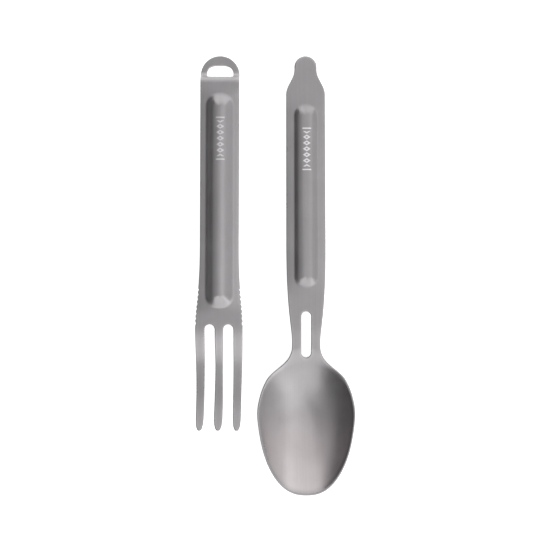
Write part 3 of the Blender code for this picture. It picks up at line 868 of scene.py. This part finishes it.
def titanium(name, colour, roughness, mark_at, burn, line_tone):
    """Blasted titanium with its mark centred at mark_at, in metres."""
    look = bpy.data.materials.new(name)
    look.use_nodes = True
    board = Board(look.node_tree)
    shader = look.node_tree.nodes["Principled BSDF"]
    place = board.add("ShaderNodeTexCoord").outputs["Object"]

    def effect(group, **wires):
        return board.add("ShaderNodeGroup", {"Place": place, **wires}, node_tree=group).outputs

    grain = effect(GRAIN)
    lines = effect(LINES)["Lines"]
    edge = effect(EDGES)["Mask"]
    signs = effect(HANDLING, Scratches=0.5)
    mark = effect(MARK, Across=mark_at[0], Along=mark_at[1])["Mask"]
    # mask of the bowl's painted highlight
    hollow = board.add("ShaderNodeAttribute", attribute_name="hollow").outputs["Fac"]

    tone = board.sum("MULTIPLY_ADD", grain["Tone"], GRAIN_TONE, 1.0)
    tone = board.sum("MULTIPLY_ADD", lines, line_tone, tone)
    tone = board.sum("MULTIPLY_ADD", edge, EDGE_TONE, tone)
    tone = board.sum("MULTIPLY_ADD", signs["Smudge"], SMUDGE_TONE, tone)
    tone = board.sum("MULTIPLY_ADD", signs["Scratch"], SCRATCH_TONE, tone)
    tint = board.add(
        "ShaderNodeVectorMath", {0: colour, "Scale": tone}, operation="SCALE"
    ).outputs[0]
    # painted highlight: a brighter, warmer copy of the colour, mixed in towards the bowl's tip
    bright = board.add(
        "ShaderNodeVectorMath", {0: BOWL_HIGHLIGHT_COLOUR, "Scale": tone}, operation="SCALE"
    ).outputs[0]
    bowl = board.add(
        "ShaderNodeMix", {"Factor": hollow, 6: tint, 7: bright}, data_type="RGBA"
    ).outputs[2]
    burnt = board.add(
        "ShaderNodeMix",
        {"Factor": board.sum("MULTIPLY", mark, burn), 6: bowl, 7: BURNT},
        data_type="RGBA",
    ).outputs[2]
    rough = board.sum("MULTIPLY_ADD", signs["Smudge"], SMUDGE_ROUGH, roughness)
    rough = board.sum("MULTIPLY_ADD", grain["Tone"], GRAIN_ROUGH, rough)
    rough = board.sum("MULTIPLY_ADD", edge, EDGE_ROUGH, rough)
    rough = board.sum("MULTIPLY_ADD", mark, MARK_ROUGH, rough)
    height = board.sum("MULTIPLY_ADD", lines, LINE_HEIGHT, grain["Height"])
    height = board.sum("MULTIPLY_ADD", mark, MARK_HEIGHT, height)
    bump = board.add("ShaderNodeBump", {"Strength": 0.35, "Distance": 0.00002, "Height": height})
    shader.inputs["Metallic"].default_value = 1.0
    for socket, label in ((burnt, "Base Color"), (rough, "Roughness"), (bump.outputs[0], "Normal")):
        board.tree.links.new(socket, shader.inputs[label])
    return look


# %% Give each piece its finish
def wear_finish(piece, look):
    piece.data.materials.append(look)
    print(piece.name, "wears", look.name)


FORK_MARK = (-0.0237, 0.0584)  # middle of each mark, in metres
SPOON_MARK = (0.0140, 0.0539)
ROUGHNESS = 0.36
fork_metal = titanium(
    "blasted_titanium_fork", (0.314, 0.305, 0.311), ROUGHNESS, FORK_MARK, burn=0.7, line_tone=0.10
)
spoon_metal = titanium(
    "blasted_titanium_spoon", (0.298, 0.289, 0.294), ROUGHNESS, SPOON_MARK, burn=1.0, line_tone=0.14
)
wear_finish(fork, fork_metal)
wear_finish(spoon, spoon_metal)

# %% [markdown]
# ## The floor
#
# The set lies on a plain white sweep. Paper like this is lit until it is nearly pure white, so its
# material is a bright matt one with a very fine fibre and a little light of its own, which keeps
# shadows faint under such thin pieces.


# %% White paper floor
FLOOR_GLOW = 0.6
FLOOR_SIZE = 6.0  # metres
FLOOR_GAP = 0.0002  # metres below the pieces, so that no faces meet


def paper():
    look = bpy.data.materials.new("white_paper")
    look.use_nodes = True
    board = Board(look.node_tree)
    shader = look.node_tree.nodes["Principled BSDF"]
    place = board.add("ShaderNodeTexCoord").outputs["Object"]
    fibre = board.add("ShaderNodeTexNoise", {"Vector": place, "Scale": 900.0, "Detail": 4.0}).outputs[0]
    white = board.remap(fibre, 0.0, 1.0, 0.88, 0.92)
    board.tree.links.new(white, shader.inputs["Base Color"])
    shader.inputs["Roughness"].default_value = 0.9
    shader.inputs["Emission Color"].default_value = (1.0, 1.0, 1.0, 1.0)
    shader.inputs["Emission Strength"].default_value = FLOOR_GLOW
    return look


bpy.ops.mesh.primitive_plane_add(size=FLOOR_SIZE, location=(0, 0, -FLOOR_GAP))
floor = bpy.context.object
floor.name = "paper_floor"
floor.data.materials.append(paper())
print("floor:", FLOOR_SIZE, "m of paper")

# %% [markdown]
# ## Light
#
# Metal shows what is around it, so a product photographer builds the surroundings, not the light:
# large white panels where the metal should be bright and dim ones where it should be darker. The
# set has two panels overhead, two beyond the far end, a large one towards the near end and one to
# the right. The one to the left is dim, which draws the left flank of every rib. Plain lamps would
# be simpler, but metal would show each as a hard spot. A panel's brightness is given as seen from
# the set, and its power follows from its size.


# %% Panels
def panel(name, lean, span, brightness, swing=0, distance=1.2):
    """A soft panel, spanning (across, along) degrees as seen from the set.

    It leans from straight up towards (+X, +Y), and then swings about the upright axis.
    """
    light = bpy.data.lights.new(name, "AREA")
    light.shape = "RECTANGLE"
    light.size, light.size_y = (2 * distance * math.tan(math.radians(angle / 2)) for angle in span)
    light.energy = brightness * math.pi * light.size * light.size_y
    lamp = bpy.data.objects.new(name, light)
    lamp.rotation_euler = [math.radians(angle) for angle in (-lean[1], lean[0], swing)]
    lamp.location = lamp.rotation_euler.to_matrix() @ Vector((0, 0, distance))
    bpy.context.scene.collection.objects.link(lamp)
    print(name, "gives", round(light.energy, 2), "W")


panel("panel_overhead", (15, -3), (38, 38), 1.22)
panel("panel_overhead_far", (15, 24), (38, 16), 0.66)
panel("panel_right", (62, 0), (56, 90), 0.84)
panel("panel_left", (-28, 0), (48, 70), 0.44)
panel("panel_near", (0, -56), (72, 68), 1.56, swing=13)
panel("panel_far", (0, 44), (62, 30), 1.08, swing=-8)
panel("panel_far_low", (0, 75), (62, 32), 1.70, swing=-8)

ROOM_GLOW = 0.12  # of everything around that isn't a panel
world = bpy.data.worlds.new("studio")
world.use_nodes = True
room = world.node_tree.nodes["Background"].inputs
room["Color"].default_value = (0.98, 0.97, 1.0, 1.0)
room["Strength"].default_value = ROOM_GLOW
bpy.context.scene.world = world

# %% [markdown]
# ## Camera
#
# The camera looks straight down from a little over a third of a metre, close enough that the raised
# tip of the bowl looks slightly larger than it would from afar. With the Standard view, a panel of
# brightness one is white, which makes the light easy to reason about.

# %% Look straight down
CAMERA_AT = (0.00015, -0.00112, 0.360)  # metres, a hair off the middle of the set
FRAME_WIDTH = 0.24103  # at the level of the handles
HANDLE_LEVEL = 0.0035
lens = bpy.data.cameras.new("camera")
lens.sensor_width = 36.0
lens.lens = lens.sensor_width * (CAMERA_AT[2] - HANDLE_LEVEL) / FRAME_WIDTH
lens.clip_start = 0.01
camera = bpy.data.objects.new("camera", lens)
camera.location = CAMERA_AT
bpy.context.scene.collection.objects.link(camera)
bpy.context.scene.camera = camera
bpy.context.scene.view_settings.view_transform = "Standard"
print("focal length", round(lens.lens, 2), "mm")
